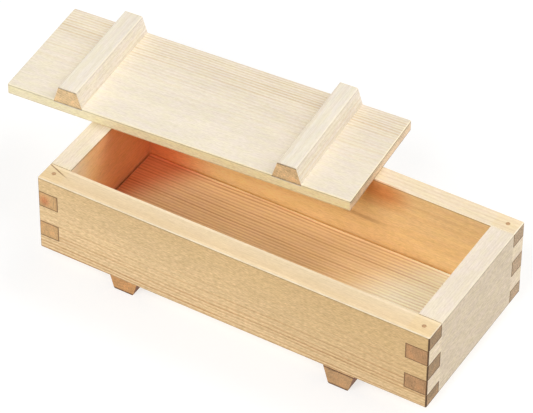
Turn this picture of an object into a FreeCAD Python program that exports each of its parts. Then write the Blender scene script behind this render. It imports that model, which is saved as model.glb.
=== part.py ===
import FreeCAD, Part
import math
import os

import Sketcher

# A press box for pressed sushi, in hinoki-like softwood, in millimetres.
#
# A bottomless frame of four boards, finger-jointed and pegged at the corners, drops over a
# loose base: a thin plate on two dovetailed battens, whose ends carry the frame. A second
# thin plate with two battens is the press. It lies askew on the frame's rim, over the back
# left corner. It fits down inside the frame when rice is pressed.
#
# +Z is up, X runs along the box. Z = 0 is the surface that the base battens stand on, and
# the origin is under the middle of the whole set as it lies, press plate included.

SIZES = (
    ("box_x", 28.65, "centre of the box along X"),
    ("box_y", -16.95, "centre of the box along Y"),
    ("frame_length", 240.0, "frame, outside, along X"),
    ("frame_width", 104.0, "frame, outside, along Y"),
    ("frame_height", 50.4, "frame boards, along Z"),
    ("front_board", 13.4, "thickness of the front board"),
    ("right_board", 13.7, "thickness of the right board"),
    ("back_board", 11.8, "thickness of the back board"),
    ("left_board", 12.4, "thickness of the left board"),
    ("top_finger", 9.6, "joint finger at the rim, along Z"),
    ("bottom_finger", 9.0, "joint finger at the lower edge, along Z"),
    ("peg_diameter", 2.4, "corner pegs"),
    ("peg_length", 24.0, "corner pegs, down from the rim"),
    ("peg_fit", 0.05, "play around a peg, on the radius"),
    ("base_gap", 0.8, "play between the base plate and the frame, all round"),
    ("base_thickness", 7.0, "base plate"),
    ("base_batten_wide", 18.6, "base batten, its face in the plate"),
    ("base_batten_narrow", 12.0, "base batten, its free face"),
    ("press_gap", 1.9, "play between the press plate and the frame, all round"),
    ("press_thickness", 7.2, "press plate"),
    ("press_batten_wide", 18.0, "press batten, its face in the plate"),
    ("press_batten_narrow", 10.9, "press batten, its free face"),
    ("batten_height", 11.5, "battens, from one of those faces to the other"),
    ("batten_inset", 38.1, "middle of a batten, in from its plate's end"),
    ("housing_depth", 1.5, "depth of a batten's dovetail housing in its plate"),
    ("batten_setback", 1.6, "base battens' ends, inside the frame's long faces"),
    ("batten_creep", 1.5, "driven battens off centre: left one back, right one forward"),
    ("press_shift_x", -70.05, "press plate's centre from the box's centre, along X"),
    ("press_shift_y", 41.6, "press plate's centre from the box's centre, along Y"),
    ("press_yaw", 3.7, "press plate's turn about Z, in degrees"),
    ("arris", 0.5, "small chamfer along the outside edges of boards and plates"),
    ("batten_round", 0.9, "rounding along the edges of a batten's free face"),
    ("peg_point", 0.4, "chamfer around a peg's lower end"),
)

FRAME_Z = "Sizes.batten_height"
BASE_Z = "Sizes.batten_height - Sizes.housing_depth"
RIM_Z = "Sizes.batten_height + Sizes.frame_height"

# The mould is the space between the boards, and both plates fit it with some play.
MOULD_X = "Sizes.box_x + (Sizes.left_board - Sizes.right_board) / 2"
MOULD_Y = "Sizes.box_y + (Sizes.front_board - Sizes.back_board) / 2"
MOULD_LENGTH = "(Sizes.frame_length - Sizes.left_board - Sizes.right_board)"
MOULD_WIDTH = "(Sizes.frame_width - Sizes.front_board - Sizes.back_board)"
BASE_PLATE_LENGTH = f"({MOULD_LENGTH} - 2 * Sizes.base_gap)"
BASE_PLATE_WIDTH = f"({MOULD_WIDTH} - 2 * Sizes.base_gap)"
PRESS_PLATE_LENGTH = f"({MOULD_LENGTH} - 2 * Sizes.press_gap)"
PRESS_PLATE_WIDTH = f"({MOULD_WIDTH} - 2 * Sizes.press_gap)"
PRESS_X = "Sizes.box_x + Sizes.press_shift_x"
PRESS_Y = "Sizes.box_y + Sizes.press_shift_y"

# From the middle of a plate to the middle of either batten, and the base battens' length.
BASE_REACH = f"({BASE_PLATE_LENGTH} / 2 - Sizes.batten_inset)"
PRESS_REACH = f"({PRESS_PLATE_LENGTH} / 2 - Sizes.batten_inset)"
BASE_BATTEN_LENGTH = "Sizes.frame_width - 2 * Sizes.batten_setback"

# A corner joint has an odd number of fingers. Those between the top and the bottom one are
# equal. Long boards own the bottom finger and every other one above it, short boards the rest.
FINGER_COUNT = 5
INNER_FINGER = (
    f"((Sizes.frame_height - Sizes.top_finger - Sizes.bottom_finger) / {FINGER_COUNT - 2})"
)

# How constraints name a sketch's origin and its two axes.
ORIGIN_POINT, X_AXIS, Y_AXIS = (-1, 1), -1, -2

ROUGH = 10.0  # a sketch's lines before its dimensions take hold
TOUCH = 1e-6

doc = FreeCAD.newDocument("sushi_press")
sheet = doc.addObject("Spreadsheet::Sheet", "Sizes")
for row, (alias, size, note) in enumerate(SIZES, start=1):
    sheet.set(f"A{row}", note)
    sheet.set(f"B{row}", str(size))
    sheet.setAlias(f"B{row}", alias)
doc.recompute()


def new_body(label):
    """An empty body, named after its piece."""
    body = doc.addObject("PartDesign::Body", label)
    body.Label = label
    return body


def place(body, x, y, z, turn="0", axis=FreeCAD.Vector(0, 0, 1)):
    """Put a body at x, y, z, turned about an axis, all as expressions of the sheet.

    The one degree that it starts with only keeps the axis, which no turn at all would lose.
    """
    body.Placement = FreeCAD.Placement(FreeCAD.Vector(), FreeCAD.Rotation(axis, 1))
    body.setExpression("Placement.Base.x", x)
    body.setExpression("Placement.Base.y", y)
    body.setExpression("Placement.Base.z", z)
    body.setExpression("Placement.Rotation.Angle", turn)


def new_sketch(body, name, role, height=None):
    """A sketch on one of the body's own origin planes, or at a height above it."""
    plane = next(p for p in body.Origin.OriginFeatures if p.Role == role)
    sketch = body.newObject("Sketcher::SketchObject", name)
    sketch.AttachmentSupport = [(plane, "")]
    sketch.MapMode = "FlatFace"
    if height:
        sketch.setExpression("AttachmentOffset.Base.z", height)
    return sketch


def bind(sketch, kind, *where, size):
    """Add a dimension to a sketch, and give it its size as an expression."""
    index = sketch.addConstraint(Sketcher.Constraint(kind, *where, 1.0))
    sketch.setExpression(f"Constraints[{index}]", size)


def draw_loop(sketch, corners):
    """A closed outline of straight lines through rough corners. Returns its line numbers."""
    points = [FreeCAD.Vector(x, y, 0) for x, y in corners]
    lines = [
        sketch.addGeometry(Part.LineSegment(start, end))
        for start, end in zip(points, points[1:] + points[:1])
    ]
    for line, following in zip(lines, lines[1:] + lines[:1]):
        sketch.addConstraint(Sketcher.Constraint("Coincident", line, 2, following, 1))
    return lines


def draw_rectangle(sketch, width, height):
    """A rectangle that stands on the sketch's X axis, centred on its Y axis."""
    loop = ((-ROUGH, 0), (ROUGH, 0), (ROUGH, ROUGH), (-ROUGH, ROUGH))
    bottom, right, top, left = draw_loop(sketch, loop)
    sketch.addConstraint(Sketcher.Constraint("Horizontal", top))
    sketch.addConstraint(Sketcher.Constraint("Vertical", right))
    sketch.addConstraint(Sketcher.Constraint("Vertical", left))
    sketch.addConstraint(Sketcher.Constraint("Symmetric", bottom, 1, bottom, 2, *ORIGIN_POINT))
    sketch.addConstraint(Sketcher.Constraint("PointOnObject", bottom, 1, X_AXIS))
    bind(sketch, "DistanceX", bottom, 1, bottom, 2, size=width)
    bind(sketch, "DistanceY", right, 1, right, 2, size=height)


def draw_end_notches(sketch, length, depths, height):
    """Rectangles that stand on the sketch's X axis, cut in from both ends of a board."""
    for side, depth in zip((-1, 1), depths):
        inner, outer = side * ROUGH, side * 2 * ROUGH
        loop = ((inner, 0), (outer, 0), (outer, ROUGH), (inner, ROUGH))
        low, end, high, root = draw_loop(sketch, loop)
        sketch.addConstraint(Sketcher.Constraint("PointOnObject", low, 1, X_AXIS))
        for line in (low, high):
            sketch.addConstraint(Sketcher.Constraint("Horizontal", line))
        for line in (end, root):
            sketch.addConstraint(Sketcher.Constraint("Vertical", line))
        from_middle = (*ORIGIN_POINT, low, 2) if side > 0 else (low, 2, *ORIGIN_POINT)
        along = (low, 1, low, 2) if side > 0 else (low, 2, low, 1)
        bind(sketch, "DistanceX", *from_middle, size=f"{length} / 2")
        bind(sketch, "DistanceX", *along, size=depth)
        bind(sketch, "DistanceY", end, 1, end, 2, size=height)


def draw_trapezoid(sketch, bottom_width, top_width, height):
    """A symmetric trapezoid that stands on the sketch's X axis."""
    loop = ((-ROUGH, 0), (ROUGH, 0), (ROUGH / 2, ROUGH), (-ROUGH / 2, ROUGH))
    bottom, right, top, left = draw_loop(sketch, loop)
    sketch.addConstraint(Sketcher.Constraint("Symmetric", bottom, 1, bottom, 2, *ORIGIN_POINT))
    sketch.addConstraint(Sketcher.Constraint("PointOnObject", bottom, 1, X_AXIS))
    sketch.addConstraint(Sketcher.Constraint("Symmetric", top, 1, top, 2, Y_AXIS))
    bind(sketch, "DistanceX", bottom, 1, bottom, 2, size=bottom_width)
    bind(sketch, "DistanceX", top, 2, top, 1, size=top_width)
    bind(sketch, "DistanceY", right, 1, right, 2, size=height)


def pad(body, sketch, name, length, reverse=False, sides="One side"):
    """Make a sketch solid."""
    feature = body.newObject("PartDesign::Pad", name)
    feature.Profile = sketch
    feature.SideType = sides
    feature.Reversed = reverse
    feature.setExpression("Length", length)
    doc.recompute()
    return feature


def pocket(body, sketch, name, length, reverse=False, sides="One side"):
    """Cut a sketch out of the body, and make sure that it did cut."""
    before = body.Shape.Volume
    feature = body.newObject("PartDesign::Pocket", name)
    feature.Profile = sketch
    feature.SideType = sides
    feature.Reversed = reverse
    feature.setExpression("Length", length)
    doc.recompute()
    if body.Shape.Volume > before - TOUCH:
        raise RuntimeError(f"{body.Label}: {name} cuts nothing")
    return feature


def edges_where(shape, test):
    """Names of the edges whose every end point passes a test."""
    return [
        f"Edge{number}"
        for number, edge in enumerate(shape.Edges, start=1)
        if all(test(vertex.Point) for vertex in edge.Vertexes)
    ]


def ease(body, kind, name, size_property, size, tests):
    """Chamfer or round the edges of the body's present shape that pass any of the tests."""
    base = body.Tip
    names = set()
    for test in tests:
        names.update(edges_where(base.Shape, test))
    feature = body.newObject(f"PartDesign::{kind}", name)
    feature.Base = (base, sorted(names))
    feature.setExpression(size_property, size)
    doc.recompute()
    return feature


def near(a, b):
    return math.isclose(a, b, abs_tol=TOUCH)


def finger_span(number):
    """Lower end and height of a joint finger, counted up from 0 at the lower edge."""
    if number == 0:
        return "0", "Sizes.bottom_finger"
    if number == FINGER_COUNT - 1:
        return "Sizes.frame_height - Sizes.top_finger", "Sizes.top_finger"
    return f"Sizes.bottom_finger + {number - 1} * {INNER_FINGER}", INNER_FINGER


def frame_board(label, length, low_mate, high_mate, first_notch):
    """One board of the frame. Its outer face is at local Y = 0, its lower edge at Z = 0.

    The boards across its low and high X ends are its mates. Notches from the first one up,
    at every other finger, take their fingers.
    """
    body = new_body(label)
    thickness = f"Sizes.{label}"
    mates = (f"Sizes.{low_mate}", f"Sizes.{high_mate}")
    outline = new_sketch(body, f"{label}_outline", "XZ_Plane")
    draw_rectangle(outline, length, "Sizes.frame_height")
    pad(body, outline, f"{label}_blank", thickness, reverse=True)

    for number in range(first_notch, FINGER_COUNT, 2):
        low_end, height = finger_span(number)
        notches = new_sketch(body, f"{label}_notches_{number}", "XZ_Plane")
        notches.setExpression("AttachmentOffset.Base.y", low_end)
        draw_end_notches(notches, length, mates, height)
        pocket(body, notches, f"{label}_notched_{number}", thickness)

    holes = new_sketch(body, f"{label}_peg_circles", "XY_Plane", height="Sizes.frame_height")
    for side, mate in zip((-1, 1), mates):
        circle = holes.addGeometry(
            Part.Circle(
                FreeCAD.Vector(side * ROUGH, ROUGH, 0), FreeCAD.Vector(0, 0, 1), ROUGH / 2
            )
        )
        span = (*ORIGIN_POINT, circle, 3) if side > 0 else (circle, 3, *ORIGIN_POINT)
        bind(holes, "DistanceX", *span, size=f"({length} - {mate}) / 2")
        bind(holes, "DistanceY", *ORIGIN_POINT, circle, 3, size=f"{thickness} / 2")
        bind(holes, "Diameter", circle, size="Sizes.peg_diameter + 2 * Sizes.peg_fit")
    pocket(body, holes, f"{label}_peg_holes", "Sizes.peg_length")

    box = body.Shape.BoundBox
    ease(
        body, "Chamfer", f"{label}_arrises", "Size", "Sizes.arris",
        (
            lambda p: near(p.y, 0) and near(p.z, box.ZMin),
            lambda p: near(p.y, 0) and near(p.z, box.ZMax),
            lambda p: near(p.y, 0) and near(abs(p.x), box.XMax),
            lambda p: near(abs(p.x), box.XMax) and near(p.z, box.ZMin),
            lambda p: near(abs(p.x), box.XMax) and near(p.z, box.ZMax),
        ),
    )
    return body


def corner_peg(depth_name, side_name):
    """A round peg in the middle of one corner, driven down through its fingers, flush."""
    label = f"corner_peg_{depth_name}_{side_name}"
    body = new_body(label)
    outline = new_sketch(body, f"{label}_outline", "XY_Plane")
    circle = outline.addGeometry(
        Part.Circle(FreeCAD.Vector(), FreeCAD.Vector(0, 0, 1), ROUGH)
    )
    outline.addConstraint(Sketcher.Constraint("Coincident", circle, 3, *ORIGIN_POINT))
    bind(outline, "Diameter", circle, size="Sizes.peg_diameter")
    pad(body, outline, f"{label}_shank", "Sizes.peg_length")
    ease(
        body, "Chamfer", f"{label}_point", "Size", "Sizes.peg_point",
        (lambda p: near(p.z, 0),),
    )
    side_x = -1 if side_name == "left" else 1
    side_y = -1 if depth_name == "front" else 1
    place(
        body,
        f"Sizes.box_x + {side_x} * (Sizes.frame_length - Sizes.{side_name}_board) / 2",
        f"Sizes.box_y + {side_y} * (Sizes.frame_width - Sizes.{depth_name}_board) / 2",
        f"{RIM_Z} - Sizes.peg_length",
    )
    return body


def housed_plate(kind, length, width, reach):
    """A thin plate, its lower face at Z = 0, with two dovetail housings across its top.

    A housing is the buried part of a batten: widest at its bottom. The reach is from the
    plate's middle to a housing's.
    """
    label = f"{kind}_plate"
    thickness = f"Sizes.{kind}_thickness"
    body = new_body(label)
    outline = new_sketch(body, f"{label}_outline", "XZ_Plane")
    draw_rectangle(outline, length, thickness)
    pad(body, outline, f"{label}_blank", width, sides="Symmetric")
    ease(body, "Chamfer", f"{label}_arrises", "Size", "Sizes.arris", (lambda p: True,))

    wide = f"Sizes.{kind}_batten_wide"
    flare = f"({wide} - Sizes.{kind}_batten_narrow) / Sizes.batten_height"
    housing = new_sketch(body, f"{label}_housing", "XZ_Plane")
    draw_trapezoid(
        housing, wide, f"{wide} - {flare} * Sizes.housing_depth", "Sizes.housing_depth"
    )
    housing.setExpression("AttachmentOffset.Base.x", reach)
    housing.setExpression("AttachmentOffset.Base.y", f"{thickness} - Sizes.housing_depth")
    cut = pocket(body, housing, f"{label}_groove", width, sides="Symmetric")
    mirror = body.newObject("PartDesign::Mirrored", f"{label}_grooves")
    mirror.Originals = [cut]
    middle = next(p for p in body.Origin.OriginFeatures if p.Role == "YZ_Plane")
    mirror.MirrorPlane = (middle, [""])
    body.Tip = mirror
    doc.recompute()
    return body


def batten(kind, side_name, length):
    """A batten along Y, its wide face at Z = 0 and its free face above."""
    label = f"{kind}_batten_{side_name}"
    body = new_body(label)
    outline = new_sketch(body, f"{label}_outline", "XZ_Plane")
    draw_trapezoid(
        outline, f"Sizes.{kind}_batten_wide", f"Sizes.{kind}_batten_narrow",
        "Sizes.batten_height",
    )
    pad(body, outline, f"{label}_bar", length, sides="Symmetric")
    box = body.Shape.BoundBox
    ease(
        body, "Fillet", f"{label}_rounding", "Radius", "Sizes.batten_round",
        (
            lambda p: near(p.z, box.ZMax) and p.x > 0,
            lambda p: near(p.z, box.ZMax) and p.x < 0,
        ),
    )
    return body


# The frame: four boards, and a peg down through each corner. Each board is placed by the
# middle of its outer face, a quarter turn on from the one before it.

half_length, half_width = "Sizes.frame_length / 2", "Sizes.frame_width / 2"
ring = (
    # board, its length, first notch, its outer face along X and Y
    ("front_board", "Sizes.frame_length", 1, "Sizes.box_x", f"Sizes.box_y - {half_width}"),
    ("right_board", "Sizes.frame_width", 0, f"Sizes.box_x + {half_length}", "Sizes.box_y"),
    ("back_board", "Sizes.frame_length", 1, "Sizes.box_x", f"Sizes.box_y + {half_width}"),
    ("left_board", "Sizes.frame_width", 0, f"Sizes.box_x - {half_length}", "Sizes.box_y"),
)
pieces = []
for turn, (label, length, first_notch, x, y) in enumerate(ring):
    low_mate, high_mate = ring[turn - 1][0], ring[(turn + 1) % len(ring)][0]
    board = frame_board(label, length, low_mate, high_mate, first_notch)
    place(board, x, y, FRAME_Z, turn=f"{turn} * 90")
    pieces.append(board)
for depth_name in ("front", "back"):
    for side_name in ("left", "right"):
        pieces.append(corner_peg(depth_name, side_name))

# The base: a plate with its housings underneath, over two battens that stand on the table.
# The battens run on past the plate on both sides, and the frame rests on their ends.

upside_down = FreeCAD.Vector(0, 1, 0)
base_plate = housed_plate("base", BASE_PLATE_LENGTH, BASE_PLATE_WIDTH, BASE_REACH)
place(
    base_plate, MOULD_X, MOULD_Y, f"{BASE_Z} + Sizes.base_thickness",
    turn="180", axis=upside_down,
)
pieces.append(base_plate)
for side, side_name in ((-1, "left"), (1, "right")):
    bar = batten("base", side_name, BASE_BATTEN_LENGTH)
    place(
        bar, f"{MOULD_X} + {side} * {BASE_REACH}", f"Sizes.box_y - {side} * Sizes.batten_creep",
        "Sizes.batten_height", turn="180", axis=upside_down,
    )
    pieces.append(bar)

# The press: a plate with its housings on top, lying askew on the frame's rim.

press_plate = housed_plate("press", PRESS_PLATE_LENGTH, PRESS_PLATE_WIDTH, PRESS_REACH)
place(press_plate, PRESS_X, PRESS_Y, RIM_Z, turn="Sizes.press_yaw")
pieces.append(press_plate)
for side, side_name in ((-1, "left"), (1, "right")):
    bar = batten("press", side_name, PRESS_PLATE_WIDTH)
    place(
        bar,
        f"{PRESS_X} + {side} * cos(Sizes.press_yaw) * {PRESS_REACH}",
        f"{PRESS_Y} + {side} * sin(Sizes.press_yaw) * {PRESS_REACH}",
        f"{RIM_Z} + Sizes.press_thickness - Sizes.housing_depth",
        turn="Sizes.press_yaw",
    )
    pieces.append(bar)

doc.recompute()

for item in doc.Objects:
    if "Invalid" in item.State or "Error" in item.State:
        raise RuntimeError(f"{item.Label} failed to compute: {item.State}")
for piece in pieces:
    shape = piece.Shape
    if shape.isNull() or not shape.isValid() or len(shape.Solids) != 1:
        raise RuntimeError(f"{piece.Label} is not one valid solid")

os.makedirs("parts", exist_ok=True)
for piece in pieces:
    piece.Shape.exportStep(os.path.join("parts", f"{piece.Label}.step"))
    print(f"{piece.Label}: {piece.Shape.Volume / 1000:.2f} cm3")
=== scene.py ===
import math

import bmesh
import bpy
from mathutils import Euler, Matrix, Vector


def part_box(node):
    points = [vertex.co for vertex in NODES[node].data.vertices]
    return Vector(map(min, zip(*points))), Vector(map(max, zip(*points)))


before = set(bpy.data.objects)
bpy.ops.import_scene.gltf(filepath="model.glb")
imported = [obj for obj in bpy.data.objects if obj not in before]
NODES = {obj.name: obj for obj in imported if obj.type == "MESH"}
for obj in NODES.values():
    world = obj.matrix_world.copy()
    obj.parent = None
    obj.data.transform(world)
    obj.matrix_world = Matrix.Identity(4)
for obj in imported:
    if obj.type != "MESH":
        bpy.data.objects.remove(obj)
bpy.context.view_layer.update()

# The looks of a softwood press box for pressed sushi: a pegged, finger-jointed frame on a
# battened base, and a battened press plate that lies askew on the frame's rim.
#
# Blender's own lengths are metres. The wood's figure is measured in millimetres.

MM = 0.001

UP = Vector((0, 0, 1))
ALONG_X = Vector((1, 0, 0))

# Halfway from the frame's front left lower corner to its back right upper one.
FRAME_MIDDLE = (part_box("front_board")[0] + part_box("back_board")[1]) / 2


# ------------------------------------------------------------------ building node trees

class Tree:
    """Adds nodes to a node tree. Each method returns the new node's output socket."""

    def __init__(self, tree):
        self.nodes = tree.nodes
        self.links = tree.links

    def feed(self, socket, value):
        """Join a socket to another node's output, or set the number that it holds."""
        if isinstance(value, bpy.types.NodeSocket):
            self.links.new(value, socket)
        else:
            socket.default_value = value

    def maths(self, operation, *values, clamp=False):
        """One operation on one or more numbers."""
        node = self.nodes.new("ShaderNodeMath")
        node.operation = operation
        node.use_clamp = clamp
        for socket, value in zip(node.inputs, values):
            self.feed(socket, value)
        return node.outputs["Value"]

    def product(self, first, *others):
        """All the numbers multiplied."""
        for value in others:
            first = self.maths("MULTIPLY", first, value)
        return first

    def plus(self, base, value, times):
        """The base, plus a value that many times."""
        return self.maths("MULTIPLY_ADD", value, times, base)

    def vector(self, operation, first, second=None):
        """A vector operation on one vector or two, or on a vector and a scale."""
        node = self.nodes.new("ShaderNodeVectorMath")
        node.operation = operation
        self.feed(node.inputs[0], first)
        if second is not None:
            self.feed(node.inputs["Scale" if operation == "SCALE" else 1], second)
        gives_number = operation in ("DOT_PRODUCT", "LENGTH")
        return node.outputs["Value" if gives_number else "Vector"]

    def dot(self, first, second):
        return self.vector("DOT_PRODUCT", first, second)

    def combine(self, x, y, z):
        node = self.nodes.new("ShaderNodeCombineXYZ")
        for socket, value in zip(node.inputs, (x, y, z)):
            self.feed(socket, value)
        return node.outputs["Vector"]

    def separate(self, vector):
        node = self.nodes.new("ShaderNodeSeparateXYZ")
        self.feed(node.inputs["Vector"], vector)
        return node.outputs[:]

    def noise(self, vector, detail, roughness):
        """Soft noise, mostly from 0.3 to 0.7, with bumps about one unit of the vector wide."""
        node = self.nodes.new("ShaderNodeTexNoise")
        node.inputs["Scale"].default_value = 1.0
        node.inputs["Detail"].default_value = detail
        node.inputs["Roughness"].default_value = roughness
        self.feed(node.inputs["Vector"], vector)
        return node.outputs["Fac"]

    def dice(self, value):
        """A random number from 0 to 1 that stays the same for the same value."""
        node = self.nodes.new("ShaderNodeTexWhiteNoise")
        node.noise_dimensions = "1D"
        self.feed(node.inputs["W"], value)
        return node.outputs["Value"]

    def step(self, value, start, end, low=0.0, high=1.0):
        """A smooth change from low to high as the value goes from start to end."""
        node = self.nodes.new("ShaderNodeMapRange")
        node.interpolation_type = "SMOOTHSTEP"
        for name, given in (
            ("Value", value), ("From Min", start), ("From Max", end),
            ("To Min", low), ("To Max", high),
        ):
            self.feed(node.inputs[name], given)
        return node.outputs["Result"]

    def blend(self, factor, first, second):
        """Two colours mixed: only the first at factor 0, and only the second at 1."""
        node = self.nodes.new("ShaderNodeMix")
        node.data_type = "RGBA"
        sockets = [socket for socket in node.inputs if socket.type == "RGBA"]
        self.feed(node.inputs["Factor"], factor)
        for socket, colour in zip(sockets, (first, second)):
            self.feed(socket, colour)
        return next(socket for socket in node.outputs if socket.type == "RGBA")

    def tint(self, colour, by):
        """A colour times another one."""
        return self.vector("MULTIPLY", colour, by)

    def shade(self, colour, by):
        """A colour times a number."""
        return self.vector("SCALE", colour, by)


# -------------------------------------------------------------------- the wood's settings
#
# One node group draws the wood of every piece. Here is what a piece tells it, with what
# stands where the piece says nothing. Places and lengths are millimetres from the middle of
# the board, along its own axes: along the grain, across it, and upward.

VECTOR, COLOUR, NUMBER = "NodeSocketVector", "NodeSocketColor", "NodeSocketFloat"
WHITE = (1, 1, 1, 1)

# A place that no board reaches.
NOWHERE = 999.0

WOOD_INPUTS = (
    # The board: its middle in metres, its own axes, the way from it to the mould's middle,
    # half its size, and a number that sets its figure apart from the other boards'.
    ("Middle", VECTOR, (0, 0, 0)),
    ("Along", VECTOR, (1, 0, 0)),
    ("Across", VECTOR, (0, 1, 0)),
    ("Upward", VECTOR, (0, 0, 1)),
    ("Inward", VECTOR, (0, 0, 0)),
    ("Half size", VECTOR, (100, 5, 20)),
    ("Seed", NUMBER, 0.0),

    # Growth rings: the pale and the dark wood of a year, the rings' spacing, where the log's
    # pith lies, and how much the log narrows with each millimetre along it. Where a face is
    # nearest to the pith the lines are wide apart, and away from there they close up. Contrast
    # is how dark they are, and Faintest the share of it that the weakest ring has. Figured
    # points to the side where they are strongest, as one over half the board's width.
    ("Early", COLOUR, (0.8, 0.65, 0.45, 1)),
    ("Late", COLOUR, (0.6, 0.4, 0.2, 1)),
    ("Ring", NUMBER, 2.0),
    ("Pith", VECTOR, (0, 120, 0)),
    ("Taper", NUMBER, 0.0),
    ("Contrast", NUMBER, 0.5),
    ("Faintest", NUMBER, 0.35),
    ("Figured", VECTOR, (0, 0, 0)),

    # How strong the flecks are on upright faces and on level ones, how strong the yellower
    # and pinker clouds, and how dark the fibres' ends in end grain. End is its colour.
    ("Fleck", NUMBER, 0.1),
    ("Top fleck", NUMBER, 0.3),
    ("Hue", NUMBER, 1.0),
    ("End", COLOUR, (0.5, 0.3, 0.15, 1)),
    ("End dots", NUMBER, 0.85),

    # Tints of level faces and of upright outer ones: partly the boards' own tones, and partly
    # painted light and shade, with tops lighter and sides darker or warmer as the light falls on
    # them. A second tint comes in from one side of the board to the other, a painted gradient of
    # light and shade: the run points there, as one over half the distance.
    ("Top", COLOUR, WHITE),
    ("Top far", COLOUR, WHITE),
    ("Top run", VECTOR, (0, 0, 0)),
    ("Side", COLOUR, WHITE),
    ("Side far", COLOUR, WHITE),
    ("Side run", VECTOR, (0, 0, 0)),

    # Painted light and shade on the mould's own face: tints, from the board's low end to its
    # high end, that paint the darker, redder shade under the press plate and the warm light
    # that bounces about inside. The fades say between which places they change, and Fade slant
    # how much farther along that is for each millimetre across. Below the Floor line the face
    # is in the base plate's gap, and is darker and browner there: painted shade.
    ("Inside low", COLOUR, WHITE),
    ("Inside", COLOUR, WHITE),
    ("Inside high", COLOUR, WHITE),
    ("Low fade", VECTOR, (-100, -80, 0)),
    ("High fade", VECTOR, (0, 80, 0)),
    ("Fade slant", NUMBER, 0.0),
    ("Floor line", NUMBER, -NOWHERE),

    # A patch of redder, darker colour: a spot in the wood on some boards, and a painted shadow
    # on others. Its middle, and its reach along each axis.
    ("Patch", COLOUR, WHITE),
    ("Patch middle", VECTOR, (0, 0, NOWHERE)),
    ("Patch reach", VECTOR, (1, 1, 1)),

    # How strong the painted highlights are: the pale lines on the arrises, the light strips
    # along the long edges of a level face, and those along the lower edge of an upright one.
    ("Arris", NUMBER, 0.8),
    ("Edge light", NUMBER, 0.0),
    ("Lower light", NUMBER, 0.0),

    # Corner joints: how far one reaches in from the low end and from the high end, where a
    # finger ends, and how high a finger is. Border is how dark the lines round end grain are,
    # Finger light how light the joint's long grain is, and Corner how dark the upright corner
    # is at the low end and at the high end.
    ("Joint", VECTOR, (0, 0, 0)),
    ("Finger start", NUMBER, NOWHERE),
    ("Finger pitch", NUMBER, 4 * NOWHERE),
    ("Border", NUMBER, 0.0),
    ("Finger light", NUMBER, 1.0),
    ("Corner", VECTOR, (0, 0, 0)),

    # A dark line from one point to another, with its width and how dark it is: a hairline crack
    # on one board, and a painted shadow line on another.
    ("Crack from", VECTOR, (0, 0, NOWHERE)),
    ("Crack to", VECTOR, (1, 0, NOWHERE)),
    ("Crack width", NUMBER, 0.5),
    ("Crack or shadow", NUMBER, 0.0),
)
WOOD_OUTPUTS = (("Colour", COLOUR), ("Roughness", NUMBER), ("Normal", VECTOR))


# --------------------------------------------------------------- how the wood is drawn
#
# Noises have a length along the grain and a width across it, in millimetres, and a shift
# that sets one apart from another. They lie about zero, mostly from -0.2 to 0.2.

FIBRE = {"length": 16.0, "width": 0.45, "shift": 1.7, "detail": 3.0, "roughness": 0.6}
FLECK = {"length": 2.4, "width": 0.5, "shift": 9.2, "roughness": 0.6}
CLOUD = {"length": 45.0, "width": 14.0, "shift": 11.6}
HUE = {"length": 9.0, "width": 4.0, "shift": 21.7}
END_DOTS = {"length": 3.0, "width": 0.8, "shift": 13.4}
BLOTCH = {"length": 9.0, "width": 5.0, "shift": 15.8}
# The arris noise breaks up a painted highlight.
ARRIS_HIGHLIGHT_BREAKUP = {"length": 6.0, "width": 6.0, "shift": 17.9}
# This noise wavers a crack or a painted shadow line.
CRACK_OR_SHADOW_WAVER = {"length": 2.0, "width": 2.0, "shift": 19.1}
RING_STRENGTH = {"length": 60.0, "width": 9.0, "shift": 5.3}

# The rings stray from circles by so many millimetres times a wide, a middling and a fine noise.
RING_STRAYS = (
    (3.0, {"length": 150.0, "width": 40.0, "shift": 3.1}),
    (1.2, {"length": 150.0, "width": 7.0, "shift": 4.9}),
    (0.45, {"length": 18.0, "width": 3.0, "shift": 7.7}),
)

# A ramp is where an effect starts and where it is full, and then its least and its greatest
# strength where they aren't 0 and 1. These go by the share of the surface's direction that
# lies along one of the board's axes, which is 1 on a face that is square to that axis.
ARRIS_RAMP = (0.95, 0.86)
LEVEL_RAMP = (0.75, 0.95)
INSIDE_RAMP = (0.5, 0.9)
END_RAMP = (0.45, 0.60)
UPRIGHT_RAMP = (0.5, 0.1)
TOP_FLECK_RAMP = (0.5, 0.9)
CORNER_UPRIGHT_RAMP = (0.6, 0.3)

# These go by distances in millimetres.
END_EDGE_RAMP = (0.45, 0.60)
JOINT_RAMP = (1.5, -0.5)
PAINTED_ARRIS_SHADE_RAMP = (1.5, 0.8)
BELOW_FLOOR_RAMP = (0.1, -0.3)
BORDER_RAMP = (1.0, 0.3)
EDGE_LIGHT_RAMP = (2.5, 1.8)
LOWER_LIGHT_RAMP = (1.8, 0.8)
CORNER_RAMP = (0.95, 0.55)

# These go by shares: of a ring, from its first wood to its last, of the way from one side of
# a board to the other, of a patch's reach, of the width of a crack or painted shadow line,
# and of its length.
LATEWOOD_RISE = (0.22, 0.78)
LATEWOOD_END = (1.0, 0.90)
RUN_RAMP = (-1.0, 1.0)
PATCH_RAMP = (1.0, 0.1)
CRACK_OR_SHADOW_SIDE_RAMP = (1.0, 0.3)
CRACK_OR_SHADOW_LENGTH_RAMP = (1.0, 0.5, 0.1, 1.0)

# These go by noises.
RING_STRENGTH_RAMP = (-0.2, 0.12, 0.5, 1.0)
HUE_RAMP = (-0.2, 0.2)
END_BLOTCH_RAMP = (0.0, 0.25, 0.0, 0.35)
ARRIS_HIGHLIGHT_BREAKUP_RAMP = (-0.25, 0.2, 0.7, 1.0)
EDGE_HIGHLIGHT_BREAKUP_RAMP = (-0.1, 0.1, 0.5, 1.0)
CORNER_BREAKUP_RAMP = (-0.2, 0.1, 0.75, 1.0)

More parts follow.
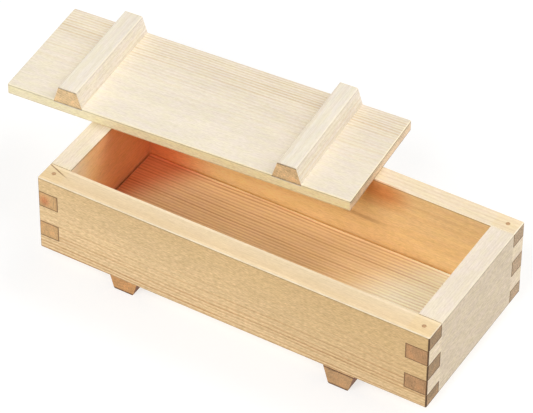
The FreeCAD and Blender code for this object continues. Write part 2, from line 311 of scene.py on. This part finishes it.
# Colours, as red, green and blue light values, and tints that multiply a colour.
YELLOWER, PINKER = (1, 1.004, 0.96, 1), (1, 0.99, 1.03, 1)
FLECK_TINT = (1.0, 1.15, 1.45)
JOINT_TINT = (1, 0.97, 0.86, 1)
# Painted shade in the base plate's gap.
BELOW_FLOOR_PAINTED_SHADE = (1.0, 0.85, 0.65)
END_BLOTCH_TINT = (1.08, 0.88, 0.76)
# Painted highlights along the edges of level faces and the lower edges of upright ones.
EDGE_LIGHT_TINT = (1.35, 1.45, 1.65)
LOWER_LIGHT_TINT = (1.2, 1.15, 1.15)
# Darkens a real crack, and paints a shadow line.
CRACK_OR_SHADOW_TINT = (0.36, 0.25, 0.20)
# A painted highlight on the arrises.
ARRIS_HIGHLIGHT_COLOUR = (1.0, 0.90, 0.70, 1.0)
BORDER_COLOUR = (0.13, 0.065, 0.024, 1)
CORNER_COLOUR = (0.09, 0.045, 0.016, 1)

# How much each part of the figure lightens the wood, or darkens it where the number is below
# zero. END_SHADE is what end grain starts from. The arris shades are no figure but painted
# shade: a dark line just inside the top and bottom edges of an upright face.
FIBRE_SHADE, CLOUD_SHADE, PAINTED_ARRIS_SHADE = 0.32, 0.16, -0.32
END_SHADE, END_RING_SHADE, END_BLOTCH_SHADE, END_PAINTED_ARRIS_SHADE = 1.05, -0.16, 0.60, -0.45

# How much of the joint's tint and of the arris's painted highlight is mixed in, and how
# steeply the rings gain strength towards the side that Figured points to.
JOINT_TINT_SHARE = 0.6
ARRIS_HIGHLIGHT_COLOUR_SHARE = 0.85
FIGURED_POWER = 2.0

# How much higher the painted highlight along the lower edge reaches on end grain, and how
# many millimetres times its noise the side of a crack or of a painted shadow line wavers by.
END_LOWER_LIGHT = 2.8
CRACK_OR_SHADOW_WAVER_REACH = 0.5

# The dark wood of a year is smoother than the rest, and end grain is rougher.
ROUGHNESS, RING_ROUGHNESS, FIBRE_ROUGHNESS, END_ROUGHNESS = 0.60, -0.10, 0.22, 0.18
SPECULAR = 0.35

# Relief in millimetres: the dark wood of a year stands a little proud, and fibres, flecks and
# the fibres' ends make the surface uneven.
RING_RELIEF, FIBRE_RELIEF, FLECK_RELIEF = 0.02, 0.05, 0.04
DOT_RELIEF, CRACK_OR_SHADOW_RELIEF = 0.10, -0.15


class Wood(Tree):
    """Draws sawn softwood: growth rings about a pith, fibres, flecks and end grain.

    It works in a board's own millimetres, so that one log's rings run through every face.
    """

    def __init__(self, group):
        super().__init__(group)
        self.given = self.nodes.new("NodeGroupInput").outputs
        self.find_point()
        self.find_face()
        self.find_distances()
        self.draw_grain()

    def find_point(self):
        """The point and the surface's direction, along the board's own axes."""
        axes = ("Along", "Across", "Upward")
        place = self.nodes.new("ShaderNodeTexCoord").outputs
        self.normal = place["Normal"]
        from_middle = self.vector("SUBTRACT", place["Object"], self.given["Middle"])
        self.in_mm = self.vector("SCALE", from_middle, 1 / MM)
        self.along, self.across, self.upward = (
            self.dot(self.in_mm, self.given[axis]) for axis in axes
        )
        self.point = self.combine(self.along, self.across, self.upward)
        self.facing_along, self.facing_across, self.facing_up = (
            self.maths("ABSOLUTE", self.dot(self.normal, self.given[axis])) for axis in axes
        )

    def find_face(self):
        """Whether the surface is an arris, level, upright, or the mould's own face."""
        squareness = self.maths(
            "MAXIMUM", self.facing_along,
            self.maths("MAXIMUM", self.facing_across, self.facing_up),
        )
        self.on_arris = self.step(squareness, *ARRIS_RAMP)
        self.on_level = self.step(self.facing_up, *LEVEL_RAMP)
        self.on_upright = self.step(self.facing_up, *UPRIGHT_RAMP)
        inward = self.dot(self.normal, self.given["Inward"])
        self.on_inside = self.step(inward, *INSIDE_RAMP)

    def find_distances(self):
        """How far the point lies from the board's faces and from the end of a finger."""
        half_size = self.given["Half size"]
        # From the nearer end, the nearer side, and the nearer of the top and the bottom.
        to_faces = self.vector("SUBTRACT", half_size, self.vector("ABSOLUTE", self.point))
        self.to_end, self.to_side, self.to_level = self.separate(to_faces)
        _, half_thickness, half_height = self.separate(half_size)
        inward = self.dot(self.in_mm, self.given["Inward"])
        self.to_outside = self.maths("ADD", inward, half_thickness)
        self.to_bottom = self.maths("ADD", self.upward, half_height)

        past_joint = self.maths("SUBTRACT", self.to_end, self.at_ends("Joint"))
        self.in_joint = self.step(past_joint, *JOINT_RAMP)
        above_start = self.maths("SUBTRACT", self.upward, self.given["Finger start"])
        half_pitch = self.product(self.given["Finger pitch"], 0.5)
        self.to_finger_end = self.maths("PINGPONG", above_start, half_pitch)

        self.on_end_grain = self.product(
            self.step(self.facing_along, *END_RAMP), self.step(self.to_level, *END_EDGE_RAMP),
        )
        # A painted shade line just inside the top and bottom edges of an upright face.
        self.painted_arris_shade = self.product(
            self.step(self.to_level, *PAINTED_ARRIS_SHADE_RAMP), self.on_upright,
        )

    def at_ends(self, name):
        """A setting that has one value for the low end and one for the high end."""
        low, high, _ = self.separate(self.given[name])
        at_high_end = self.maths("GREATER_THAN", self.along, 0.0)
        return self.plus(low, at_high_end, self.maths("SUBTRACT", high, low))

    def grain_noise(self, length, width, shift, detail=2.0, roughness=0.5):
        """Noise about zero, with bumps this long along the grain and this wide across it."""
        seed = self.maths("ADD", self.given["Seed"], shift)
        vector = self.combine(
            self.maths("DIVIDE", self.along, length),
            self.maths("ADD", self.maths("DIVIDE", self.across, width), seed),
            self.maths("DIVIDE", self.upward, width),
        )
        return self.maths("SUBTRACT", self.noise(vector, detail, roughness), 0.5)

    def draw_grain(self):
        """The rings and the noises that more than one part of the figure uses."""
        self.rings = self.growth_rings()
        self.fibre = self.grain_noise(**FIBRE)
        self.fleck = self.grain_noise(**FLECK)
        self.cloud = self.grain_noise(**CLOUD)
        self.dots = self.grain_noise(**END_DOTS)
        self.blotch = self.grain_noise(**BLOTCH)

    def growth_rings(self):
        """1 in the dark wood of a strong year, by the distance from the log's pith."""
        from_pith = self.vector("SUBTRACT", self.point, self.given["Pith"])
        radius = self.vector("LENGTH", self.vector("MULTIPLY", from_pith, (0, 1, 1)))
        radius = self.plus(radius, self.along, self.given["Taper"])
        for reach, noise in RING_STRAYS:
            radius = self.plus(radius, self.grain_noise(**noise), reach)
        count = self.maths("DIVIDE", radius, self.given["Ring"])
        in_ring = self.maths("FRACT", count)
        vigour = self.dice(self.maths("ADD", self.maths("FLOOR", count), self.given["Seed"]))
        return self.product(
            self.step(in_ring, *LATEWOOD_RISE),
            self.step(in_ring, *LATEWOOD_END),
            self.step(vigour, 0.0, 1.0, self.given["Faintest"], 1.0),
            self.step(self.grain_noise(**RING_STRENGTH), *RING_STRENGTH_RAMP),
        )

    def long_grain(self):
        """The faces that run along the grain, before their tints."""
        figured = self.step(self.dot(self.point, self.given["Figured"]), *RUN_RAMP)
        # Figured is a half at the board's middle, where the contrast is just as given.
        strength = self.maths("POWER", self.product(figured, 2.0), FIGURED_POWER)
        strength = self.product(strength, self.given["Contrast"])
        rings = self.product(self.rings, strength)
        colour = self.blend(rings, self.given["Early"], self.given["Late"])

        shade = self.plus(1.0, self.fibre, FIBRE_SHADE)
        shade = self.plus(shade, self.cloud, CLOUD_SHADE)
        shade = self.plus(shade, self.painted_arris_shade, PAINTED_ARRIS_SHADE)
        colour = self.shade(colour, shade)

        flecked = self.step(
            self.facing_up, *TOP_FLECK_RAMP, self.given["Fleck"], self.given["Top fleck"]
        )
        flecks = self.shade(FLECK_TINT, self.product(self.fleck, flecked))
        colour = self.tint(colour, self.vector("ADD", flecks, (1, 1, 1)))

        hue = self.blend(self.step(self.grain_noise(**HUE), *HUE_RAMP), YELLOWER, PINKER)
        return self.tint(colour, self.blend(self.given["Hue"], WHITE, hue))

    def inside_painted_shade(self):
        """Painted shade and light on the mould's own face, from the board's low end to its high
        end.
        """
        low_start, low_end, _ = self.separate(self.given["Low fade"])
        high_start, high_end, _ = self.separate(self.given["High fade"])
        slant = self.product(self.across, self.given["Fade slant"])
        slanted = self.maths("SUBTRACT", self.along, slant)
        to_high = self.step(slanted, high_start, high_end)
        high_part = self.blend(to_high, self.given["Inside"], self.given["Inside high"])
        to_middle = self.step(slanted, low_start, low_end)
        tint = self.blend(to_middle, self.given["Inside low"], high_part)
        # Darker and browner below the floor line: painted shade in the base plate's gap.
        above_floor = self.maths("SUBTRACT", self.upward, self.given["Floor line"])
        below_floor = self.step(above_floor, *BELOW_FLOOR_RAMP)
        return self.blend(below_floor, tint, self.tint(tint, BELOW_FLOOR_PAINTED_SHADE))

    def running_tint(self, name):
        """A tint and a second one from one side of the board to the other, partly painted light.
        """
        share = self.step(self.dot(self.point, self.given[f"{name} run"]), *RUN_RAMP)
        return self.tint(self.given[name], self.blend(share, WHITE, self.given[f"{name} far"]))

    def outside_tint(self):
        """The tints of the level faces and of the upright outer ones, partly painted light and
        shade.
        """
        joint_tint = self.blend(self.product(self.in_joint, JOINT_TINT_SHARE), WHITE, JOINT_TINT)
        top = self.tint(self.running_tint("Top"), joint_tint)
        finger_light = self.maths("SUBTRACT", self.given["Finger light"], 1.0)
        side = self.shade(self.running_tint("Side"), self.plus(1.0, self.in_joint, finger_light))
        return self.blend(self.on_level, side, top)

    def end_grain(self):
        """Browner, with the rings as arcs, the fibres' ends as dots, and a dark border."""
        shade = self.plus(END_SHADE, self.rings, END_RING_SHADE)
        shade = self.plus(shade, self.dots, self.given["End dots"])
        shade = self.plus(shade, self.blotch, END_BLOTCH_SHADE)
        shade = self.plus(shade, self.painted_arris_shade, END_PAINTED_ARRIS_SHADE)
        colour = self.shade(self.given["End"], shade)
        blotched = self.step(self.blotch, *END_BLOTCH_RAMP)
        colour = self.blend(blotched, colour, self.tint(colour, END_BLOTCH_TINT))

        to_border = self.maths(
            "MINIMUM", self.maths("MINIMUM", self.to_side, self.to_level), self.to_finger_end
        )
        border = self.product(self.step(to_border, *BORDER_RAMP), self.given["Border"])
        return self.blend(border, colour, BORDER_COLOUR)

    def with_painted_arris_highlight(self, colour):
        """A painted highlight along the arrises."""
        pale = self.blend(ARRIS_HIGHLIGHT_COLOUR_SHARE, self.given["Early"], ARRIS_HIGHLIGHT_COLOUR)
        breakup = self.step(self.grain_noise(**ARRIS_HIGHLIGHT_BREAKUP), *ARRIS_HIGHLIGHT_BREAKUP_RAMP)
        return self.blend(self.product(self.on_arris, breakup, self.given["Arris"]), colour, pale)

    def with_painted_edge_highlight(self, colour):
        """A painted highlight along each long edge of a level face."""
        strip = self.product(
            self.step(self.to_side, *EDGE_LIGHT_RAMP), self.given["Edge light"],
            self.step(self.cloud, *EDGE_HIGHLIGHT_BREAKUP_RAMP), self.on_level,
        )
        return self.blend(strip, colour, self.tint(colour, EDGE_LIGHT_TINT))

    def with_painted_lower_highlight(self, colour):
        """A painted highlight along the lower edge of an upright face, wider on end grain."""
        to_strip = self.plus(self.to_bottom, self.on_end_grain, -END_LOWER_LIGHT)
        strip = self.product(
            self.step(to_strip, *LOWER_LIGHT_RAMP), self.given["Lower light"], self.on_upright,
        )
        light = self.vector("MINIMUM", self.tint(colour, LOWER_LIGHT_TINT), (1, 1, 1))
        return self.blend(strip, colour, light)

    def with_patch_or_painted_shadow(self, colour):
        """A wood spot or a painted shadow, strongest at its middle. Level faces outside the
        mould have none.
        """
        off_middle = self.vector("SUBTRACT", self.point, self.given["Patch middle"])
        share = self.vector("DIVIDE", off_middle, self.given["Patch reach"])
        on_outer_level = self.product(self.on_level, self.maths("SUBTRACT", 1.0, self.on_inside))
        off_patch = self.maths("ADD", self.vector("LENGTH", share), on_outer_level)
        patched = self.tint(colour, self.given["Patch"])
        return self.blend(self.step(off_patch, *PATCH_RAMP), colour, patched)

    def with_dark_corners(self, colour):
        """The joints' upright corners are darker."""
        off_corner = self.maths("MAXIMUM", self.to_end, self.to_outside)
        corner = self.product(
            self.step(off_corner, *CORNER_RAMP), self.at_ends("Corner"),
            self.step(self.facing_up, *CORNER_UPRIGHT_RAMP),
            self.step(self.blotch, *CORNER_BREAKUP_RAMP),
        )
        return self.blend(corner, colour, CORNER_COLOUR)

    def crack_or_shadow_line(self):
        """How far the point is in the crack or painted shadow line, which thins out towards its
        end.
        """
        start = self.given["Crack from"]
        run = self.vector("SUBTRACT", self.given["Crack to"], start)
        reach = self.vector("SUBTRACT", self.point, start)
        share = self.maths("DIVIDE", self.dot(reach, run), self.dot(run, run), clamp=True)
        off_line = self.vector("SUBTRACT", reach, self.vector("SCALE", run, share))
        waver = self.product(self.grain_noise(**CRACK_OR_SHADOW_WAVER), CRACK_OR_SHADOW_WAVER_REACH)
        gap = self.maths("ADD", self.vector("LENGTH", off_line), waver)
        gap = self.maths("DIVIDE", gap, self.given["Crack width"])
        return self.product(
            self.step(gap, *CRACK_OR_SHADOW_SIDE_RAMP), self.step(share, *CRACK_OR_SHADOW_LENGTH_RAMP),
            self.given["Crack or shadow"],
        )

    def colour(self, crack_or_shadow_line):
        """Long grain and end grain, each with its own marks, and then the marks of both."""
        outside = self.outside_tint()
        face = self.tint(
            self.long_grain(), self.blend(self.on_inside, outside, self.inside_painted_shade())
        )
        face = self.with_painted_edge_highlight(self.with_painted_arris_highlight(face))
        colour = self.blend(self.on_end_grain, face, self.end_grain())
        colour = self.with_patch_or_painted_shadow(self.with_painted_lower_highlight(colour))
        colour = self.with_dark_corners(colour)
        return self.blend(crack_or_shadow_line, colour, self.tint(colour, CRACK_OR_SHADOW_TINT))

    def roughness(self):
        """How rough the rings, the fibres and the end grain are."""
        roughness = self.plus(ROUGHNESS, self.rings, RING_ROUGHNESS)
        roughness = self.plus(roughness, self.fibre, FIBRE_ROUGHNESS)
        return self.plus(roughness, self.on_end_grain, END_ROUGHNESS)

    def relief(self, crack_or_shadow_line):
        """The figure's small heights and the depth of the crack or painted shadow line, as a
        bump.
        """
        relief = self.product(self.rings, RING_RELIEF)
        relief = self.plus(relief, self.fibre, FIBRE_RELIEF)
        relief = self.plus(relief, self.fleck, FLECK_RELIEF)
        relief = self.plus(relief, self.product(self.dots, self.on_end_grain), DOT_RELIEF)
        relief = self.plus(relief, crack_or_shadow_line, CRACK_OR_SHADOW_RELIEF)
        bump = self.nodes.new("ShaderNodeBump")
        bump.inputs["Strength"].default_value = 1.0
        bump.inputs["Distance"].default_value = MM
        self.feed(bump.inputs["Height"], relief)
        return bump.outputs["Normal"]


def wood_group():
    """The node group that draws the wood of every piece."""
    group = bpy.data.node_groups.new("sawn_softwood", "ShaderNodeTree")
    for name, kind, default in WOOD_INPUTS:
        socket = group.interface.new_socket(name, in_out="INPUT", socket_type=kind)
        socket.default_value = default
    for name, kind in WOOD_OUTPUTS:
        group.interface.new_socket(name, in_out="OUTPUT", socket_type=kind)

    wood = Wood(group)
    crack_or_shadow_line = wood.crack_or_shadow_line()
    out = wood.nodes.new("NodeGroupOutput").inputs
    wood.feed(out["Colour"], wood.colour(crack_or_shadow_line))
    wood.feed(out["Roughness"], wood.roughness())
    wood.feed(out["Normal"], wood.relief(crack_or_shadow_line))
    return group


# ------------------------------------------------------------------- each piece's looks
#
# Colours are 0 to 255 screen values, and the rest is as the wood's settings say.

# In these looks the Top and Side tints and their runs are partly painted light and shade, the
# Inside tints paint the shade and the warm bounced light inside the mould, and Arris, Edge light
# and Lower light paint highlights.
PRESS = {
    "Early": (255, 243, 219), "Late": (222, 182, 114), "End": (229, 206, 174),
    "Ring": 1.55, "Pith": (0, -25, -40), "Contrast": 0.18, "Faintest": 0.45,
    "Figured": (0, 1 / 37, 0), "Fleck": 0.6, "Top fleck": 0.35,
    "Top": (246, 246, 248), "Top far": (247, 246, 246), "Top run": (0.0095, 0, 0),
    "Side": (255, 251, 223), "Side far": (242, 245, 255), "Side run": (-0.0095, 0, 0),
    "Lower light": 1.0,
}
PRESS_BATTEN = {
    "Early": (248, 237, 218), "Late": (218, 184, 130), "End": (229, 197, 150),
    "Ring": 1.6, "Pith": (0, 14, -30), "Contrast": 0.24, "Fleck": 0.5, "Top fleck": 0.2,
    "Top": (250, 251, 251), "Border": 0.3,
}
FRONT = {
    "Early": (242, 220, 184), "Late": (190, 134, 76), "End": (167, 138, 104),
    "Ring": 1.65, "Pith": (0, 25, 18), "Taper": -0.010, "Contrast": 0.25, "Faintest": 0.35,
    "Figured": (0, 0, -1 / 28), "Fleck": 0.95, "Hue": 0.3, "End dots": 1.8,
    "Top": (249, 247, 243), "Top far": (253, 247, 238), "Top run": (0, -1 / 6.7, 0),
    "Side": (243, 232, 212), "Side far": (228, 220, 203), "Side run": (0.0038, 0, 0.026),
    "Lower light": 0.7, "Edge light": 0.3, "Border": 1.0, "Corner": (0, 0.85, 0),
    "Crack from": (-119.9, 5.7, 25.2), "Crack to": (-103.8, -0.4, 25.2), "Crack or shadow": 0.8,
}
BACK = {
    "Early": (255, 239, 205), "Late": (208, 150, 84), "End": (190, 164, 134),
    "Ring": 2.2, "Pith": (0, 40, -4), "Contrast": 0.28, "Fleck": 0.45, "End dots": 1.8,
    "Top": (245, 241, 241), "Side": (250, 238, 214), "Arris": 1.0, "Border": 0.8,
    # Painted shade: darker and redder towards the low end, under the press plate.
    "Inside low": (240, 152, 110), "Inside": (255, 236, 200), "Inside high": (248, 225, 191),
    "Low fade": (-98, -58, 0), "High fade": (-20, 60, 0),
    # The patch paints the press plate's shadow, just past its end.
    "Patch": (232, 184, 153), "Patch middle": (40, -5.9, 18.5), "Patch reach": (23, 5, 15),
    # A painted shadow line, along the edge of the press plate's shadow.
    "Crack from": (18, -5.9, -4.0), "Crack to": (46, -5.9, -4.8), "Crack width": 2.0,
    "Crack or shadow": 0.35,
}
LEFT = {
    "Early": (255, 243, 216), "Late": (214, 164, 104), "End": (201, 161, 112),
    "Ring": 1.5, "Pith": (0, -60, 4), "Contrast": 0.14, "Fleck": 0.45,
    "Top": (245, 241, 240), "Side": (248, 240, 226), "Border": 0.8,
    # Painted shade: darker and redder towards the back, under the press plate.
    "Inside low": (255, 255, 255), "Inside": (255, 224, 184), "Inside high": (252, 188, 153),
    "Low fade": (-42, -16, 0), "High fade": (-27, 4, 0),
    "Patch": (255, 212, 200), "Patch middle": (-52, 2.4, 9.6), "Patch reach": (8, 4.5, 5),
}
RIGHT = {
    "Early": (246, 232, 212), "Late": (196, 164, 120), "End": (178, 137, 96),
    "Ring": 1.5, "Pith": (0, 60, -4), "Contrast": 0.09, "Fleck": 0.85,
    # Side is partly painted shade: the outer face greyer and darker than the top.
    "Top": (250, 250, 249), "Side": (231, 225, 213), "Border": 0.7, "Finger light": 1.16,
    "Corner": (0.85, 0, 0),
}
BASE = {
    # End is dark as painted shade: the plate's ends show only in the gap round it.
    "Early": (255, 250, 224), "Late": (180, 114, 62), "End": (150, 90, 55),
    "Ring": 1.75, "Pith": (0, 110, -60), "Contrast": 0.56, "Faintest": 0.6, "Fleck": 0.45,
    "Side": (250, 238, 214), "Arris": 0.0, "Edge light": 0.6,
    # Painted shade and light: dark and red at the left end under the press plate, pale where
    # light reaches the right end, with a slanted edge like the press plate's shadow.
    "Inside low": (222, 136, 98), "Inside": (255, 228, 197), "Inside high": (255, 255, 250),
    "Low fade": (-112, -83, 0), "High fade": (30, 66, 0), "Fade slant": 0.6,
    # The patch paints a little shade in the middle of the floor.
    "Patch": (238, 231, 223), "Patch middle": (20, 0, 3.5), "Patch reach": (50, 60, 10),
}
BASE_BATTEN_LEFT = {
    "Early": (240, 212, 172), "Late": (196, 140, 82), "End": (198, 148, 96),
    "Ring": 1.9, "Pith": (0, 10, 40), "Contrast": 0.25, "Fleck": 0.35,
    # Side is dark as painted shade on the feet's long sides, under the frame.
    "Side": (132, 92, 62), "Border": 0.4,
}
BASE_BATTEN_RIGHT = {**BASE_BATTEN_LEFT, "End": (187, 147, 104)}

# A peg is round. Its half size across the grain is set far out, so that no mark of a board's
# edge falls on it.
PEG = {
    "Early": (220, 180, 130), "Late": (180, 130, 80), "End": (196, 156, 116),
    "Ring": 0.9, "Pith": (0, 4, 9), "Contrast": 0.4, "Fleck": 0.1, "Top fleck": 0.05,
    "Half size": (12, 99, 99),
}

# Each name here starts the names of the nodes that have these looks.
LOOKS = {
    "press_plate": PRESS, "press_batten": PRESS_BATTEN, "front_board": FRONT,
    "back_board": BACK, "left_board": LEFT, "right_board": RIGHT, "base_plate": BASE,
    "base_batten_left": BASE_BATTEN_LEFT, "base_batten_right": BASE_BATTEN_RIGHT,
    "corner_peg": PEG,
}

# How far one piece's noises lie from the next one's, in the order of the pieces' names.
SEED_STEP = 7.3


# -------------------------------------------------------------- the wood on each piece

# Points this near to each other are one, in metres. Lengths this near are equal, in
# millimetres. Faces that meet at less than this angle are one flat or round face.
SAME_POINT = 0.001 * MM
SAME_LENGTH = 0.01
FLAT = math.radians(1)


def linear(red, green, blue):
    """A colour picked as 0 to 255 screen values, as the light values that shaders use."""
    def light(value):
        share = value / 255
        return share / 12.92 if share <= 0.04045 else ((share + 0.055) / 1.055) ** 2.4

    return (light(red), light(green), light(blue), 1.0)


def long_axis(node):
    """The direction of the longest edge between two faces of a CAD node, which is its grain."""
    mesh = bmesh.new()
    mesh.from_mesh(NODES[node].data)
    bmesh.ops.remove_doubles(mesh, verts=mesh.verts, dist=SAME_POINT)
    edges = (
        edge.verts[1].co - edge.verts[0].co
        for edge in mesh.edges if edge.calc_face_angle(0) > FLAT
    )
    axis = max(edges, key=lambda edge: edge.length).normalized()
    mesh.free()
    return axis if axis.x + axis.y + axis.z > 0 else -axis


def inward_from(node, middle):
    """The way from a board of the mould to the mould's middle, and none for other pieces."""
    if node == "base_plate":
        return UP
    if not node.endswith("_board"):
        return Vector((0, 0, 0))
    inward = FRAME_MIDDLE - middle
    inward.z = 0
    return inward.normalized()


def board_settings(node):
    """Where a piece lies, and how it is turned: its grain runs along its longest edge."""
    low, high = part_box(node)
    middle = (low + high) / 2
    along = long_axis(node)
    lies_flat = abs(along.dot(UP)) < 0.5
    upward = UP if lies_flat else ALONG_X
    across = upward.cross(along)
    corners = [vertex.co - middle for vertex in NODES[node].data.vertices]
    half_size = Vector(
        max(abs(corner.dot(axis)) for corner in corners) / MM
        for axis in (along, across, upward)
    )
    return {
        "Middle": middle, "Along": along, "Across": across, "Upward": upward,
        "Inward": inward_from(node, middle), "Half size": half_size,
    }


def thickness(board):
    """The least of a board's three sizes, in millimetres."""
    low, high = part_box(board)
    return min(high - low) / MM


def joint_settings(node, board):
    """Where the corner joints' fingers lie on a board of the frame, in its own millimetres."""
    middle, across = board["Middle"], board["Across"]
    is_long = abs(board["Along"].x) > 0.5
    mates = ("left_board", "right_board") if is_long else ("front_board", "back_board")

    # The heights, to a hundredth of a millimetre, of the corners on the board's two broad faces.
    # The lowest one or two are its lower edge and the arris there. The third and the fourth
    # are ends of fingers, one finger apart.
    corners = [(vertex.co - middle) / MM for vertex in NODES[node].data.vertices]
    half_thickness = max(abs(corner.dot(across)) for corner in corners)
    heights = {
        round(corner.z, 2) for corner in corners
        if half_thickness - abs(corner.dot(across)) < SAME_LENGTH
    }
    finger_end, next_finger_end = sorted(heights)[2:4]

    return {
        "Joint": Vector((thickness(mates[0]), thickness(mates[1]), 0)),
        "Finger start": finger_end,
        "Finger pitch": next_finger_end - finger_end,
        "Floor line": (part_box("base_plate")[1].z - middle.z) / MM,
    }


def wood_material(node, group, seed, look):
    """One piece's wood: the shared figure, laid along that piece's own axes."""
    material = bpy.data.materials.new(f"{node}_wood")
    material.use_nodes = True
    tree = Tree(material.node_tree)
    shader = tree.nodes["Principled BSDF"]
    wood = tree.nodes.new("ShaderNodeGroup")
    wood.node_tree = group

    board = board_settings(node)
    settings = {**board, "Seed": seed, **look}
    if node.endswith("_board"):
        settings.update(joint_settings(node, board))
    for name, value in settings.items():
        is_colour = wood.inputs[name].type == "RGBA"
        wood.inputs[name].default_value = linear(*value) if is_colour else value

    tree.feed(shader.inputs["Base Color"], wood.outputs["Colour"])
    tree.feed(shader.inputs["Roughness"], wood.outputs["Roughness"])
    tree.feed(shader.inputs["Normal"], wood.outputs["Normal"])
    shader.inputs["Specular IOR Level"].default_value = SPECULAR
    return material


def finish_boards():
    """Give every piece its own wood."""
    group = wood_group()
    for number, node in enumerate(sorted(NODES)):
        look = next(look for start, look in LOOKS.items() if node.startswith(start))
        materials = NODES[node].data.materials
        materials.clear()
        materials.append(wood_material(node, group, SEED_STEP * number, look))


# The frame's boards are softened less, so that the joints between their fingers look closed.
SOFTENED, FRAME_SOFTENED = 0.2 * MM, 0.1 * MM
SHARP = math.radians(30)


def soften_edges():
    """Break every sharp edge a little, as a hand plane does."""
    for name, node in NODES.items():
        weld = node.modifiers.new("joined_faces", "WELD")
        weld.merge_threshold = SAME_POINT
        bevel = node.modifiers.new("softened_edges", "BEVEL")
        bevel.width = FRAME_SOFTENED if name.endswith("_board") else SOFTENED
        bevel.segments = 2
        bevel.limit_method = "ANGLE"
        bevel.angle_limit = SHARP
        node.modifiers.new("flat_faces", "WEIGHTED_NORMAL")


# ------------------------------------------------------------------ floor, light, camera

# A pale floor that glows a little, so that shadows on it stay soft and faint.
FLOOR_SIZE = 30
FLOOR_GREY = (0.4, 0.4, 0.4, 1)
FLOOR_GLOW = 0.66
FLOOR_ROUGHNESS = 0.9
FLOOR_SPECULAR = 0.1


def floor():
    """The studio floor, which the object stands on."""
    bpy.ops.mesh.primitive_plane_add(size=FLOOR_SIZE)
    plane = bpy.context.object
    plane.name = "studio_floor"
    material = bpy.data.materials.new("studio_floor_white")
    material.use_nodes = True
    shader = material.node_tree.nodes["Principled BSDF"]
    shader.inputs["Base Color"].default_value = FLOOR_GREY
    shader.inputs["Emission Color"].default_value = WHITE
    shader.inputs["Emission Strength"].default_value = FLOOR_GLOW
    shader.inputs["Roughness"].default_value = FLOOR_ROUGHNESS
    shader.inputs["Specular IOR Level"].default_value = FLOOR_SPECULAR
    plane.data.materials.append(material)


# Softboxes stand round the object, all as far from it. Azimuth 0 is in front of it, 90 at its
# right and 180 behind it.
SOFTBOX_DISTANCE = 2.0
SOFTBOX_WIDTH = 1.0
SOFTBOXES = (
    # name, azimuth, elevation, watts
    ("front_light", 0, 45, 20.4),
    ("back_light", 150, 55, 13.6),
    ("right_light", 105, 42, 6.9),
)
WORLD_STRENGTH = 0.3


def softbox(name, azimuth, elevation, watts):
    """A square white softbox that looks at the object."""
    light = bpy.data.lights.new(name, "AREA")
    light.size = SOFTBOX_WIDTH
    light.energy = watts
    lamp = bpy.data.objects.new(name, light)
    bpy.context.scene.collection.objects.link(lamp)
    turn, lift = math.radians(azimuth), math.radians(elevation)
    away = Vector(
        (math.sin(turn) * math.cos(lift), -math.cos(turn) * math.cos(lift), math.sin(lift))
    )
    lamp.location = away * SOFTBOX_DISTANCE
    lamp.rotation_euler = away.to_track_quat("Z", "Y").to_euler()
    lamp.visible_camera = False


def studio_light():
    """The softboxes and an even white world."""
    for settings in SOFTBOXES:
        softbox(*settings)
    world = bpy.data.worlds.new("studio_white")
    world.use_nodes = True
    background = world.node_tree.nodes["Background"]
    background.inputs["Color"].default_value = WHITE
    background.inputs["Strength"].default_value = WORLD_STRENGTH
    bpy.context.scene.world = world
    bpy.context.scene.view_settings.view_transform = "Standard"


# The photo's own view. Angles are degrees, and the lens and its sensor are millimetres.
CAMERA_AZIMUTH, CAMERA_ELEVATION, CAMERA_ROLL = 30.5846, 41.8522, 0.5003
CAMERA_AIM = Vector((0.013368, -0.004549, 0.040))
CAMERA_DISTANCE = 1.87049
CAMERA_LENS, CAMERA_SENSOR = 233.73, 36
CAMERA_NEAREST = 0.05


def camera():
    """A long lens, turned to the photo's side and rolled a little."""
    lens = bpy.data.cameras.new("camera")
    lens.sensor_width = CAMERA_SENSOR
    lens.lens = CAMERA_LENS
    lens.clip_start = CAMERA_NEAREST
    eye = bpy.data.objects.new("camera", lens)
    bpy.context.scene.collection.objects.link(eye)
    tilt = Euler((math.radians(90 - CAMERA_ELEVATION), 0, math.radians(CAMERA_AZIMUTH)))
    turn = tilt.to_matrix() @ Euler((0, 0, math.radians(CAMERA_ROLL))).to_matrix()
    eye.rotation_euler = turn.to_euler()
    eye.location = CAMERA_AIM + turn @ Vector((0, 0, CAMERA_DISTANCE))
    bpy.context.scene.camera = eye


finish_boards()
soften_edges()
floor()
studio_light()
camera()
